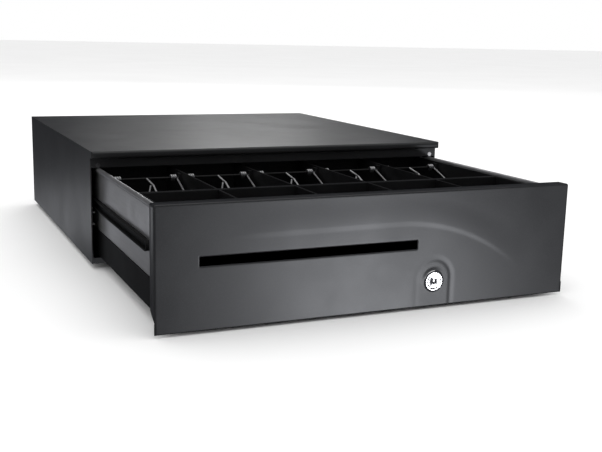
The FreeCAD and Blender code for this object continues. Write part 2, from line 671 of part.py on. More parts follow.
def swoosh_rib():
    """Thin raised line: level on the left, then a wide arc that falls to the right."""
    left = (size("rib_x"), size("rib_z"))
    bend_x = size("rib_bend_x")
    bend_z = size("rib_z + rib_rise")
    radius = size("rib_arc_r")
    width = size("rib_w")
    sweep = math.radians(size("rib_sweep"))
    centre_z = bend_z - radius
    front = size(PANEL + " - rib_t")

    def on_arc(turn, r):
        return FreeCAD.Vector(bend_x + r * math.sin(turn), front, centre_z + r * math.cos(turn))

    tip = on_arc(sweep, radius)
    start = FreeCAD.Vector(left[0], front, left[1])
    upper = [Part.LineSegment(start, on_arc(0, radius)).toShape(),
             Part.Arc(on_arc(0, radius), on_arc(sweep / 2, radius), tip).toShape()]
    lower_mid = on_arc(sweep / 2, radius - width)
    lower_bend = on_arc(0, radius - width)
    lower = [Part.Arc(tip, lower_mid, lower_bend).toShape(),
             Part.LineSegment(lower_bend, start).toShape()]
    face = Part.Face(Part.Wire(upper + lower))
    rib = doc.addObject("Part::Feature", "swoosh_rib")
    rib.Shape = face.extrude(FreeCAD.Vector(0, size("rib_t"), 0))
    return rib


def front_panel():
    """Bent sheet with top and side returns, a media slot, a lock recess and a raised line."""
    half = "panel_w / 2"
    top = "panel_z + panel_h"
    slot_x = ("slot_x - slot_w / 2", "slot_x + slot_w / 2")
    face = front_profile("panel_face", [rectangle(("-" + half, half), ("panel_z", top)),
                                        rectangle(slot_x, ("slot_z", "slot_z + slot_h"))],
                         [("lock_x", "lock_z", "lock_body_r + 0.05")], PANEL, PANEL_BACK)
    top_return = block(("-" + half, half), (PANEL, PANEL + " + return_d"), (top + " - skin", top))
    cheek_rear = PANEL + " + return_d"
    cheek = [(PANEL, "panel_z + return_cut"), (cheek_rear, "panel_z + return_cut + return_rise"),
             (cheek_rear, top), (PANEL, top)]
    right = side_profile("panel_return", cheek, half + " - skin", half)
    whole = join(face, top_return, right, mirrored(right), swoosh_rib())
    dish = join(rod("y", ("lock_x", PANEL, "recess_top - recess_w / 2"), "recess_w / 2", "recess_t"),
                block(("lock_x - recess_w / 2", "lock_x + recess_w / 2"),
                      (PANEL, PANEL + " + recess_t"), ("panel_z", "recess_top - recess_w / 2")))
    body = cut(whole, dish)
    front_y = size(PANEL)
    top_z = size(top)
    edge = rounded(body, "skin", lambda p: abs(p.y - front_y) < 0.01 and abs(p.z - top_z) < 0.01)
    node("front_panel", edge)


def lock_parts():
    """Cylinder lock: bezel and body in the panel, a turning plug and its cam behind."""
    face_y = PANEL + " - lock_proud"
    bezel = [("plug_r + run_gap", "0"), ("lock_r - skin", "0"), ("lock_r", "skin"),
             ("lock_r", "lock_proud + recess_t"), ("lock_body_r", "lock_proud + recess_t"),
             ("lock_body_r", "lock_len"), ("plug_r + run_gap", "lock_len")]
    node("lock_body", turned("lock_body", bezel, ("lock_x", face_y, "lock_z"), "y"))
    nut_start = PANEL_BACK + " + sheet_t"
    nut = cut(rod("y", ("lock_x", nut_start, "lock_z"), "nut_r", "nut_t"),
              rod("y", ("lock_x", nut_start, "lock_z"), "lock_body_r", "nut_t"))
    node("lock_nut", nut)
    plug = rod("y", ("lock_x", face_y + " + plug_set", "lock_z"), "plug_r",
               "lock_len + lock_proud - plug_set")
    keyway = block(("lock_x - keyway_w / 2", "lock_x + keyway_w / 2"),
                   (face_y, face_y + " + keyway_d"),
                   ("lock_z - keyway_h / 2", "lock_z + keyway_h / 2"))
    node("lock_plug", cut(plug, keyway))
    cam_y = (PANEL + " + lock_len", PANEL + " + lock_len + cam_t")
    cam = join(block(("lock_x", "lock_x + cam_len - cam_w / 2"), cam_y,
                     ("lock_z - cam_w / 2", "lock_z + cam_w / 2")),
               rod("y", ("lock_x + cam_len - cam_w / 2", cam_y[0], "lock_z"), "cam_w / 2",
                   "cam_t"),
               rod("y", ("lock_x", cam_y[0], "lock_z"), "plug_r", "cam_t"))
    node("lock_cam", cam)
    node("cam_screw", rod("y", ("lock_x", cam_y[1], "lock_z"), "screw_r", "plate_t"))


def strike():
    """Folded plate on the drawer's back with the window that the hook drops into."""
    rear = DRAWER_REAR
    x = ("-tongue_x", "tongue_x")
    high = "tongue_z + plate_t"
    flange = block(x, (rear, rear + " + plate_t"), ("tongue_z - ledge_web", high))
    tongue = block(x, (rear, rear + " + tongue_d"), ("tongue_z", high))
    tooth_front = "tooth_y - travel"
    window = block(("-window_x", "window_x"),
                   (tooth_front + " - 2 * cam_t", tooth_front + " + tooth_t + 2 * cam_t"),
                   ("tongue_z", high))
    node("latch_strike", cut(join(flange, tongue), window))


# ---- Till --------------------------------------------------------------------------------------

BAYS = (-2, -1, 0, 1, 2)


def bay_middle(bay):
    """Middle of a compartment: the outer ones are a little narrower."""
    if abs(bay) < 2:
        return "%d * pitch" % bay
    return "%d * (till_x - till_t + 1.5 * pitch + till_t / 2) / 2" % (bay // 2)


def bay_half(bay):
    """Half the clear width of a compartment."""
    if abs(bay) < 2:
        return "(pitch - till_t) / 2"
    return "(till_x - till_t - 1.5 * pitch - till_t / 2) / 2"


def till_body():
    """Moulded till: deep bill bays at the rear, an open frame for the coin tray in front."""
    outer_x = ("-till_x", "till_x")
    shallow = block(outer_x, (TILL_FRONT, CROSS), ("coin_z", "till_top"))
    deep = block(outer_x, (CROSS, TILL_REAR), ("bill_z", "till_top"))
    inner = "till_x - till_t"
    well = block(("-(%s)" % inner, inner), (TILL_FRONT + " + till_t", CROSS),
                 ("coin_z + till_t", "till_top + over"))
    drop = block(("-(%s - tray_ledge)" % inner, inner + " - tray_ledge"),
                 (TILL_FRONT + " + till_t + tray_ledge", CROSS + " - tray_ledge"),
                 ("coin_z", "coin_z + till_t"))
    bays = []
    for bay in BAYS:
        low = "%s - %s" % (bay_middle(bay), bay_half(bay))
        high = "%s + %s" % (bay_middle(bay), bay_half(bay))
        bays.append(block((low, high), (CROSS + " + cross_t", TILL_REAR + " - till_t"),
                          ("bill_z + till_t", "till_top + over")))
    node("till_body", cut(join(shallow, deep), well, drop, *bays))


def coin_tray():
    """Lift-out tray of five scooped coin cups."""
    half = "till_x - till_t - tray_gap"
    front = TILL_FRONT + " + till_t + tray_gap"
    rear = CROSS + " - tray_gap"
    low = "coin_z + till_t"
    slab = block(("-(%s)" % half, half), (front, rear), (low, "till_top"))
    scoops = []
    middle = "(%s + %s) / 2" % (front, rear)
    for bay in BAYS:
        clear = bay_half(bay) if abs(bay) < 2 else bay_half(bay) + " - tray_gap"
        x = (bay_middle(bay) + " - (%s)" % clear, bay_middle(bay) + " + (%s)" % clear)
        if abs(bay) == 2:
            shift = "%d * tray_gap" % (bay // 2)
            x = tuple("%s - (%s)" % (limit, shift) for limit in x)
        cavity = block(x, (front + " + cup_wall", rear + " - cup_wall"), (low, "till_top + over"))
        drum = rod("x", (x[0] + " - over", middle, low + " + cup_floor + cup_r"), "cup_r",
                   "2 * (%s + over)" % clear)
        scoops.append(common(cavity, drum))
    node("coin_tray", cut(slab, *scoops))


def hold_down_clips():
    """Bored bosses on the bay walls in which the wires turn."""
    clips = []
    for bay in BAYS:
        for side in (-1, 1):
            wall = "%s + %d * %s" % (bay_middle(bay), side, bay_half(bay))
            limits = ("%s - clip_t" % wall, wall) if side > 0 else (wall, "%s + clip_t" % wall)
            boss = block(limits, ("pivot_y - clip_h / 2", "pivot_y + clip_h / 2"),
                         ("pivot_z - clip_h / 2", "pivot_z + clip_h / 2"))
            bore = rod("x", (limits[0], "pivot_y", "pivot_z"), "wire_r + run_gap", "clip_t")
            clips.append(cut(boss, bore))
    node("hold_down_clips", group(*clips))


def bent_wire(points, radius, bend):
    """A round wire along straight runs with tangent bends."""
    path = []
    start = points[0]
    for index in range(1, len(points) - 1):
        corner = points[index]
        back = (points[index - 1] - corner).normalize()
        ahead = (points[index + 1] - corner).normalize()
        half_angle = back.getAngle(ahead) / 2
        reach = bend / math.tan(half_angle)
        enter = corner + back * reach
        leave = corner + ahead * reach
        inward = (back + ahead).normalize()
        middle = corner + inward * (bend / math.sin(half_angle) - bend)
        path.append(Part.LineSegment(start, enter).toShape())
        path.append(Part.Arc(enter, middle, leave).toShape())
        start = leave
    path.append(Part.LineSegment(start, points[-1]).toShape())
    ring = Part.Wire(Part.makeCircle(radius, points[0], points[1] - points[0]))
    return Part.Wire(path).makePipeShell([ring], True, False)


def hold_down(bay):
    """One bent-wire bill weight: two long arms, a toe bar and a middle finger loop."""
    middle = size(bay_middle(bay))
    radius = size("wire_r")
    reach = size(bay_half(bay)) - size("end_play")
    arm = size("arm_x")
    pivot = (size("pivot_y"), size("pivot_z"))
    knee = (size("knee_y"), size("knee_z"))
    toe = (size("toe_y"), size("toe_z"))
    pad = (toe[0] + size("pad_len"), toe[1])
    loop = size("loop_x")
    drop = size("loop_drop")

    def at(x, place_yz):
        return FreeCAD.Vector(middle + x, *place_yz)

    left_arm = [at(-reach, pivot), at(-arm, pivot), at(-arm, knee), at(-arm, pad), at(-arm, toe)]
    right_arm = [at(arm, toe), at(arm, pad), at(arm, knee), at(arm, pivot), at(reach, pivot)]
    frame = bent_wire(left_arm + right_arm, radius, size("wire_bend"))
    slope = (knee[1] - pivot[1]) / (knee[0] - pivot[0])
    joint = (pivot[0] - drop, pivot[1] - drop * slope)
    thumb = (pivot[0] + loop, pivot[1] + loop)
    under = (joint[0] - loop, joint[1] - drop)
    foot = (knee[0] - drop, toe[1] + drop)
    bend = size("loop_bend")
    near_leg = bent_wire([at(radius, thumb), at(radius, pivot), at(radius, joint), at(loop, knee),
                          at(loop, toe)], radius, bend)
    far_leg = bent_wire([at(radius, joint), at(-loop, under), at(-loop, foot), at(-loop, toe)],
                        radius, bend)
    rail = Part.makeCylinder(radius, 2 * arm, at(-arm, pivot), FreeCAD.Vector(1, 0, 0))
    wire = doc.addObject("Part::Feature", "hold_down")
    wire.Shape = frame.fuse([near_leg, far_leg, rail]).removeSplitter()
    return wire


def hold_downs():
    for number, bay in enumerate(BAYS, start=1):
        node("hold_down_%d" % number, hold_down(bay))


# ---- Assembly ----------------------------------------------------------------------------------

def check_and_export():
    doc.recompute()
    broken = [thing.Label for thing in doc.Objects
              if "Invalid" in thing.State or "Error" in thing.State]
    for name, thing in NODES.items():
        shape = thing.Shape
        if shape.isNull() or not shape.isValid() or not shape.Solids:
            broken.append(name)
    if broken:
        raise RuntimeError("failed: " + ", ".join(broken))
    os.makedirs("parts", exist_ok=True)
    for name, thing in NODES.items():
        thing.Shape.exportStep("parts/%s.step" % name)
        print("%-26s %2d solids %12.1f mm3" % (name, len(thing.Shape.Solids), thing.Shape.Volume))


cabinet_shell()
base_pan(feet_and_screws())
rear_screws = node("rear_screws", rear_screw_lot())
rear_panel(rear_screws)
front_band()
guide_buttons()
cabinet_rails()
front_rollers()
latch_bracket()
latch_hook()
solenoid()
latch_spring()
ejector()
switch_parts()
board_and_jack()
panel_screws = node("panel_screws", panel_screw_lot())
drawer_pan(panel_screws)
drawer_sides()
drawer_back()
slide_channels()
rear_rollers()
till_ledges()
front_panel()
lock_parts()
strike()
till_body()
coin_tray()
hold_down_clips()
hold_downs()
check_and_export()
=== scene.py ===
"""Looks of the cash drawer: sheet-metal, moulded and wire pieces, their materials, and a studio."""
import json
import math
import bmesh
import bpy
from mathutils import Matrix, Vector


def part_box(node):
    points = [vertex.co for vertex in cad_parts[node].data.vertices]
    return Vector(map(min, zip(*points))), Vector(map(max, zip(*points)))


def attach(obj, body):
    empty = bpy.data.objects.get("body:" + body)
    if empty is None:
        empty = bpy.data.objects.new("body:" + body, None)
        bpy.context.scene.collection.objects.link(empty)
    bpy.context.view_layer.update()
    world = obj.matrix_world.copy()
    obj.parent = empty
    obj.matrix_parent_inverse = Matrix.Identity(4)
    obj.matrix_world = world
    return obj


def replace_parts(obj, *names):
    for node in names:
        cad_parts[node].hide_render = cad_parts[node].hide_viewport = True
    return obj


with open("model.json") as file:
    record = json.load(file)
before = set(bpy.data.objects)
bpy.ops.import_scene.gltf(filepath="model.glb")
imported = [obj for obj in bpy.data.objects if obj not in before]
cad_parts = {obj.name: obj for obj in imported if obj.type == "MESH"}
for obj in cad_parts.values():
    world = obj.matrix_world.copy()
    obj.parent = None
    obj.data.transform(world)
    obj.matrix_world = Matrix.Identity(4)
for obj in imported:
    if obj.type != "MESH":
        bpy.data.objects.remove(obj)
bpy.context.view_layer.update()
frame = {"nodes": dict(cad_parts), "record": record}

NODES = frame["nodes"]
MM = 0.001

# ---- Camera ------------------------------------------------------------------------------------

CAMERA_PLACE = Vector((-0.3965, -1.0356, 0.2457))
CAMERA_TURN = math.radians(24.14)
CAMERA_DROP = math.radians(11.52)
CAMERA_ROLL = math.radians(1.35)
CAMERA_LENS = 56.0


def make_camera():
    """Looks along a heading and a drop from the camera's place, rolled a little about its axis."""
    camera = bpy.data.objects.new("camera", bpy.data.cameras.new("camera"))
    camera.data.lens = CAMERA_LENS
    camera.data.clip_start = 0.01
    camera.data.clip_end = 100
    look = Vector((math.sin(CAMERA_TURN) * math.cos(CAMERA_DROP),
                   math.cos(CAMERA_TURN) * math.cos(CAMERA_DROP), -math.sin(CAMERA_DROP)))
    camera.location = CAMERA_PLACE
    camera.rotation_mode = "QUATERNION"
    roll = Matrix.Rotation(CAMERA_ROLL, 3, "Z").to_quaternion()
    camera.rotation_quaternion = look.to_track_quat("-Z", "Y") @ roll
    bpy.context.collection.objects.link(camera)
    bpy.context.scene.camera = camera


# ---- Studio ------------------------------------------------------------------------------------

LIGHTS = (
    # name, place, aimed at, width, height, power in watts
    ("rear_narrow", (1.12, 2.95, 1.35), (0.0, 0.0, 0.12), 0.6, 0.4, 5.8),
    ("rear_wide", (1.12, 2.95, 1.35), (0.0, 0.0, 0.12), 1.5, 0.4, 4.2),
    ("left_fill", (-1.9, -1.3, 0.9), (-0.2, -0.2, 0.06), 0.9, 0.7, 1.6),
    ("overhead", (0.0, -0.1, 3.2), (0.0, -0.1, 0.0), 4.5, 4.5, 45),
)
CARDS = (
    # the same, for cards below the level of the floor, whose light the floor lets through
    ("front_card", (1.13, -2.44, -0.67), (0.0, -0.32, 0.06), 0.45, 0.6, 14),
    ("side_card", (-1.05, 2.45, -0.45), (-0.2, 0.1, 0.06), 0.9, 0.2, 0.5),
)
CARD_TINT = (0.93, 0.95, 1.0)
WORLD_DIM = 0.05
WORLD_DIM_TINT = (0.85, 0.88, 1.0, 1)
FLOOR_REACH = 20.0


def area_light(name, place, aim, width, height, power):
    """A rectangular lamp that the camera doesn't see."""
    light = bpy.data.lights.new(name, "AREA")
    light.shape = "RECTANGLE"
    light.size = width
    light.size_y = height
    light.energy = power
    lamp = bpy.data.objects.new(name, light)
    lamp.location = place
    lamp.rotation_mode = "QUATERNION"
    lamp.rotation_quaternion = (Vector(aim) - Vector(place)).to_track_quat("-Z", "Y")
    lamp.visible_camera = False
    bpy.context.collection.objects.link(lamp)
    return lamp


def spare(lamp, *pieces):
    """Keeps a lamp's light off some pieces."""
    apart = bpy.data.collections.new(lamp.name + "_spared")
    for piece in pieces:
        apart.objects.link(piece)
    for member in apart.collection_objects:
        member.light_linking.link_state = "EXCLUDE"
    lamp.light_linking.receiver_collection = apart


def pass_floor(lamp, floor):
    """Lets a lamp shine through the floor, and not on it."""
    apart = bpy.data.collections.new(lamp.name + "_floor")
    apart.objects.link(floor)
    apart.collection_objects[0].light_linking.link_state = "EXCLUDE"
    lamp.light_linking.receiver_collection = apart
    lamp.light_linking.blocker_collection = apart


def make_world():
    """White all round, and dim in reflections, as in a studio with black walls."""
    world = bpy.data.worlds.new("studio")
    bpy.context.scene.world = world
    world.use_nodes = True
    tree = world.node_tree
    tree.nodes.clear()
    out = tree.nodes.new("ShaderNodeOutputWorld")
    mix = tree.nodes.new("ShaderNodeMixShader")
    path = tree.nodes.new("ShaderNodeLightPath")
    dim = tree.nodes.new("ShaderNodeBackground")
    bright = tree.nodes.new("ShaderNodeBackground")
    dim.inputs["Color"].default_value = WORLD_DIM_TINT
    dim.inputs["Strength"].default_value = WORLD_DIM
    bright.inputs["Color"].default_value = (1, 1, 1, 1)
    bright.inputs["Strength"].default_value = 1.0
    tree.links.new(path.outputs["Is Glossy Ray"], mix.inputs["Fac"])
    tree.links.new(bright.outputs[0], mix.inputs[1])
    tree.links.new(dim.outputs[0], mix.inputs[2])
    tree.links.new(mix.outputs[0], out.inputs["Surface"])


def make_floor():
    """A wide pale floor at the level of the feet, left out of reflections."""
    reach = FLOOR_REACH
    mesh = bpy.data.meshes.new("studio_floor")
    corners = [(-reach, -reach, 0), (reach, -reach, 0), (reach, reach, 0), (-reach, reach, 0)]
    mesh.from_pydata(corners, [], [(0, 1, 2, 3)])
    floor = bpy.data.objects.new("studio_floor", mesh)
    bpy.context.collection.objects.link(floor)
    mesh.materials.append(pale_floor())
    floor.visible_glossy = False
    return floor


def make_studio():
    """World, floor and lamps; the rear lamps leave the front panel and the till alone."""
    bpy.context.scene.view_settings.view_transform = "Standard"
    make_world()
    floor = make_floor()
    for light in LIGHTS:
        lamp = area_light(*light)
        if lamp.name.startswith("rear"):
            spare(lamp, bpy.data.objects["front_panel_sheet"],
                  NODES["till_body"], NODES["coin_tray"])
    for card in CARDS:
        lamp = area_light(*card)
        lamp.data.color = CARD_TINT
        pass_floor(lamp, floor)


# ---- Materials ---------------------------------------------------------------------------------

EDGE_TURN = 0.92          # cosine of the turn at which an edge mask is full


class Shade:
    """A node material with short calls for the nodes that the finishes share."""

    def __init__(self, name):
        self.material = bpy.data.materials.new(name)
        self.material.use_nodes = True
        self.tree = self.material.node_tree
        self.tree.nodes.clear()
        out = self.add("ShaderNodeOutputMaterial")
        self.shader = self.add("ShaderNodeBsdfPrincipled")
        self.link(self.shader.outputs[0], out.inputs["Surface"])
        self.place = self.add("ShaderNodeTexCoord").outputs["Object"]

    def add(self, kind, **values):
        made = self.tree.nodes.new(kind)
        for key, value in values.items():
            setattr(made, key, value)
        return made

    def link(self, source, target):
        self.tree.links.new(source, target)

    def set(self, **values):
        """Sets the shader's inputs; an underscore stands for a space in a name."""
        for key, value in values.items():
            self.shader.inputs[key.replace("_", " ")].default_value = value

    def noise(self, scale, detail=3.0, stretch=None):
        """A noise pattern fixed to the piece, optionally drawn out along an axis."""
        made = self.add("ShaderNodeTexNoise")
        made.inputs["Scale"].default_value = scale
        made.inputs["Detail"].default_value = detail
        place = self.place
        if stretch:
            mapping = self.add("ShaderNodeMapping")
            mapping.inputs["Scale"].default_value = stretch
            self.link(place, mapping.inputs["Vector"])
            place = mapping.outputs[0]
        self.link(place, made.inputs["Vector"])
        return made.outputs["Fac"]

    def ramp(self, source, low, high, start=0.2, end=0.8):
        """Goes smoothly from low to high as the source goes from start to end."""
        made = self.add("ShaderNodeMapRange", interpolation_type="SMOOTHSTEP")
        made.inputs["From Min"].default_value = start
        made.inputs["From Max"].default_value = end
        made.inputs["To Min"].default_value = low
        made.inputs["To Max"].default_value = high
        self.link(source, made.inputs["Value"])
        return made.outputs[0]

    def mix(self, factor, first, second):
        """A colour between two colours; either may be a socket."""
        made = self.add("ShaderNodeMix", data_type="RGBA")
        for socket, value in ((made.inputs[6], first), (made.inputs[7], second)):
            if hasattr(value, "is_output"):
                self.link(value, socket)
            else:
                socket.default_value = (*value, 1)
        self.link(factor, made.inputs["Factor"])
        return made.outputs[2]

    def edges(self, radius, high):
        """A mask that is high along the piece's edges and 0 elsewhere."""
        bevel = self.add("ShaderNodeBevel", samples=4)
        bevel.inputs["Radius"].default_value = radius
        plain = self.add("ShaderNodeNewGeometry")
        dot = self.add("ShaderNodeVectorMath", operation="DOT_PRODUCT")
        self.link(bevel.outputs[0], dot.inputs[0])
        self.link(plain.outputs["Normal"], dot.inputs[1])
        return self.ramp(dot.outputs["Value"], high, 0.0, start=EDGE_TURN, end=1.0)

    def bump(self, *layers):
        """Stacks bumps: each layer is a height socket, a strength and a depth in metres."""
        normal = None
        for height, strength, depth in layers:
            made = self.add("ShaderNodeBump")
            made.inputs["Strength"].default_value = strength
            made.inputs["Distance"].default_value = depth
            self.link(height, made.inputs["Height"])
            if normal:
                self.link(normal, made.inputs["Normal"])
            normal = made.outputs[0]
        self.link(normal, self.shader.inputs["Normal"])


def scaled(colour, factor):
    """A colour made lighter or darker, kept within range."""
    return tuple(min(1.0, part * factor) for part in colour)


def powder_coat(name, dark, light, rough):
    """Fine-textured powder coat: tiny hills, faint mottling, edges rubbed a little lighter."""
    shade = Shade(name)
    grain = shade.noise(scale=1500, detail=2.0)
    peel = shade.noise(scale=320, detail=2.0)
    mottle = shade.noise(scale=14, detail=4.0)
    base = shade.mix(shade.ramp(mottle, 0.0, 1.0), dark, light)
    specks = shade.ramp(grain, 0.0, 0.35, start=0.45, end=0.75)
    speck = shade.mix(specks, base, scaled(light, 1.8))
    worn = shade.mix(shade.edges(radius=0.6 * MM, high=0.4), speck, scaled(light, 2.5))
    shade.link(worn, shade.shader.inputs["Base Color"])
    shade.link(shade.ramp(mottle, rough - 0.03, rough + 0.04), shade.shader.inputs["Roughness"])
    shade.bump((peel, 0.05, 0.04 * MM), (grain, 0.12, 0.03 * MM))
    return shade.material


def zinc_sheet(name, dark, light, rough):
    """Dull plated sheet: rolling grain along Y, cloudy spangle."""
    shade = Shade(name)
    cloud = shade.noise(scale=30, detail=4.0)
    grain = shade.noise(scale=600, detail=2.0, stretch=(1, 0.04, 1))
    base = shade.mix(shade.ramp(cloud, 0.0, 1.0), dark, light)
    streak = shade.mix(shade.ramp(grain, 0.0, 0.25), base, scaled(dark, 0.75))
    shade.link(streak, shade.shader.inputs["Base Color"])
    shade.set(Metallic=0.85)
    shade.link(shade.ramp(cloud, rough - 0.05, rough + 0.08), shade.shader.inputs["Roughness"])
    shade.bump((grain, 0.25, 0.03 * MM))
    return shade.material


def steel(name, colour, rough, stretch=(1, 1, 1)):
    """Plated or drawn steel with fine turning or drawing marks."""
    shade = Shade(name)
    mark = shade.noise(scale=900, detail=2.0, stretch=stretch)
    tarnish = shade.noise(scale=60, detail=3.0)
    base = shade.mix(shade.ramp(tarnish, 0.0, 1.0), scaled(colour, 0.8), colour)
    shade.link(base, shade.shader.inputs["Base Color"])
    shade.set(Metallic=1.0)
    shade.link(shade.ramp(mark, rough - 0.05, rough + 0.08), shade.shader.inputs["Roughness"])
    shade.bump((mark, 0.15, 0.02 * MM))
    return shade.material


def moulded(name, dark, light, rough, grain_scale=700):
    """Moulded plastic with a spark-eroded texture, and a painted highlight along its edges."""
    shade = Shade(name)
    grain = shade.noise(scale=grain_scale, detail=2.0)
    flow = shade.noise(scale=18, detail=3.0)
    base = shade.mix(shade.ramp(flow, 0.0, 1.0), dark, light)
    # painted highlight: the colour is made lighter along the edges, as if they caught the light
    edge = shade.mix(shade.edges(radius=0.4 * MM, high=0.3), base, scaled(light, 1.8))
    shade.link(edge, shade.shader.inputs["Base Color"])
    shade.link(shade.ramp(flow, rough - 0.05, rough + 0.06), shade.shader.inputs["Roughness"])
    shade.bump((grain, 0.3, 0.05 * MM))
    return shade.material


def pale_floor():
    """Matt and almost white, with the faintest clouding."""
    shade = Shade("pale_floor")
    clouding = shade.ramp(shade.noise(scale=2.0), 0.0, 1.0)
    base = shade.mix(clouding, (0.9, 0.9, 0.9), (0.93, 0.93, 0.93))
    shade.link(base, shade.shader.inputs["Base Color"])
    shade.set(Roughness=0.9, Specular_IOR_Level=0.1)
    return shade.material


PAINT_ROUGH = 0.315

FINISHES = {
    # slot: kind of finish, then its colours from dark to light, its roughness and any extra
    "case_paint": (powder_coat, (0.011, 0.0112, 0.012), (0.017, 0.0173, 0.0185), PAINT_ROUGH),
    "panel_paint": (powder_coat, (0.012, 0.0122, 0.0135), (0.018, 0.0185, 0.02), PAINT_ROUGH),
    "grey_zinc": (zinc_sheet, (0.36, 0.36, 0.37), (0.5, 0.5, 0.51), 0.37),
    "black_steel": (moulded, (0.003, 0.003, 0.003), (0.005, 0.005, 0.005), 0.6),
    "rubber": (moulded, (0.012, 0.012, 0.012), (0.02, 0.02, 0.02), 0.8, 1200),
    "bright_steel": (steel, (0.62, 0.61, 0.6), 0.3),
    "spring_wire": (steel, (0.72, 0.72, 0.72), 0.36, (0.1, 1, 1)),
    "chrome": (steel, (0.88, 0.88, 0.88), 0.15),
    "nylon": (moulded, (0.6, 0.59, 0.55), (0.72, 0.71, 0.67), 0.5),
    "black_plastic": (moulded, (0.004, 0.004, 0.0045), (0.007, 0.007, 0.008), 0.5),
    "red_plastic": (moulded, (0.4, 0.03, 0.02), (0.5, 0.04, 0.03), 0.4),
    "coil_wrap": (moulded, (0.45, 0.32, 0.05), (0.6, 0.45, 0.08), 0.55),
    "board_green": (moulded, (0.01, 0.09, 0.03), (0.02, 0.14, 0.05), 0.35),
}


def make_materials():
    return {slot: finish(slot, *values) for slot, (finish, *values) in FINISHES.items()}


SLOT_OF = {entry["node"]: entry["material_slot"] for entry in frame["record"]["subparts"]}
BODY_OF = {node: body for body, nodes in frame["record"]["behaviour"]["bodies"].items()
           for node in nodes}


SOFT_ANGLE = math.radians(35.0)
SOFT_EDGES = {
    # width in millimetres: the nodes with edges that soft
    0.25: ("lock_cam",),
    0.3: ("base_pan", "drawer_side_right", "drawer_side_left", "latch_bracket", "latch_strike",
          "ejector_bracket", "interface_jack", "switch_button", "till_ledge_right",
          "till_ledge_left", "front_roller_right", "front_roller_left", "rear_roller_right",
          "rear_roller_left"),
    0.35: ("drawer_pan", "drawer_back", "cabinet_rail_right", "cabinet_rail_left"),
    0.4: ("rear_panel", "front_band", "latch_hook", "switch_body", "hold_down_clips"),
    0.5: ("cabinet_shell",),
    0.6: ("till_body", "coin_tray"),
}
DARKER = {"drawer_pan": "black_steel"}


def soften(thing, width):
    """Rounds the sharp edges of a piece by a bevel modifier, its width in millimetres."""
    bevel = thing.modifiers.new("soft_edges", "BEVEL")
    bevel.width = width * MM
    bevel.segments = 2
    bevel.limit_method = "ANGLE"
    bevel.angle_limit = SOFT_ANGLE
    bevel.harden_normals = False


def dress_nodes(materials):
    """Gives every CAD node its finish, and some of them soft edges."""
    for node, slot in SLOT_OF.items():
        shape = NODES[node]
        shape.data.materials.clear()
        shape.data.materials.append(materials[DARKER.get(node, slot)])
    for width, nodes in SOFT_EDGES.items():
        for node in nodes:
            soften(NODES[node], width)


# ---- Making pieces -----------------------------------------------------------------------------

def put(name, data, node, slot=None):
    """Adds a piece that moves with a node's body, in the node's finish or in another."""
    piece = bpy.data.objects.new(name, data)
    bpy.context.collection.objects.link(piece)
    slot = slot or SLOT_OF[node]
    data.materials.append(MATERIALS[slot])
    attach(piece, BODY_OF[node])
    return piece


def millimetre_box(node):
    """The low and high corner of a node's box, in millimetres."""
    return [[value / MM for value in corner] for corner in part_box(node)]


def smooth_mesh(name, points, faces, angle=38.0):
    """A mesh from points in millimetres, smooth but for edges sharper than the angle."""
    mesh = bpy.data.meshes.new(name)
    mesh.from_pydata([Vector(point) * MM for point in points], [], faces)
    work = bmesh.new()
    work.from_mesh(mesh)
    bmesh.ops.remove_doubles(work, verts=work.verts, dist=1e-7)
    bmesh.ops.recalc_face_normals(work, faces=work.faces)
    work.to_mesh(mesh)
    work.free()
    mesh.polygons.foreach_set("use_smooth", [True] * len(mesh.polygons))
    mesh.set_sharp_from_angle(angle=math.radians(angle))
    return mesh


def join_meshes(*parts):
    """Puts several lists of points and faces into one."""
    points, faces = [], []
    for part_points, part_faces in parts:
        start = len(points)
        points += part_points
        faces += [tuple(corner + start for corner in face) for face in part_faces]
    return points, faces


# how a shape made along Z is turned to lie along each axis
AXES = {"x": Matrix(((0, 0, 1), (1, 0, 0), (0, 1, 0))),
        "y": Matrix(((1, 0, 0), (0, 0, 1), (0, 1, 0))),
        "z": Matrix.Identity(3)}


def lathed(profile, centre, axis, steps=64):
    """Turns a closed profile of (radius, place along the axis) round the axis through the centre."""
    points, faces = [], []
    turn = AXES[axis]
    count = len(profile)
    for step in range(steps):
        angle = 2 * math.pi * step / steps
        for radius, along in profile:
            local = Vector((radius * math.cos(angle), radius * math.sin(angle), along))
            points.append(tuple(Vector(centre) + turn @ local))
    for step in range(steps):
        near = step * count
        far = (step + 1) % steps * count
        for row in range(count):
            after = (row + 1) % count
            faces.append((near + row, near + after, far + after, far + row))
    return points, faces


def box_part(low, high):
    """The points and faces of a box between two corners."""
    points = [(x, y, z) for x in (low[0], high[0]) for y in (low[1], high[1])
              for z in (low[2], high[2])]
    faces = [(0, 1, 3, 2), (4, 6, 7, 5), (0, 4, 5, 1), (2, 3, 7, 6), (0, 2, 6, 4), (1, 5, 7, 3)]
    return points, faces


def smoothstep(value, start, end):
    """Rises smoothly from 0 at the start to 1 at the end."""
    share = min(1.0, max(0.0, (value - start) / (end - start)))
    return share * share * (3 - 2 * share)


# ---- Front panel -------------------------------------------------------------------------------
# All sizes from here on are in millimetres.

